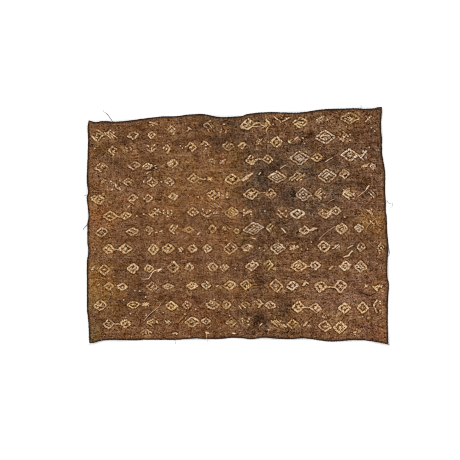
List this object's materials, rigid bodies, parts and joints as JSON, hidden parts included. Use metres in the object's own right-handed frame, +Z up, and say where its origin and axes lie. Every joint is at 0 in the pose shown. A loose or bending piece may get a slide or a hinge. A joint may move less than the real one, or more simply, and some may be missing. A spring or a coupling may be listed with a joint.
{
  "type": "kuba cloth",
  "caption": "Old embroidered raffia panel with rows of small linked diamonds and a narrow rolled hem, spread out flat with a gently uneven edge.",
  "frame": {"origin": "bottom centre of the panel's box, on the surface that it lies on", "axes": "+X along the panel's long side, towards the right edge; +Y towards the top edge; +Z up out of the embroidered face"},
  "size_m": [0.6162, 0.4848, 0.0066],
  "materials": {
    "raffia": "matt, dry, slightly fuzzy plain weave"
  },
  "bodies": {
    "root": {"cloth": "raffia"}
  },
  "joints": []
}
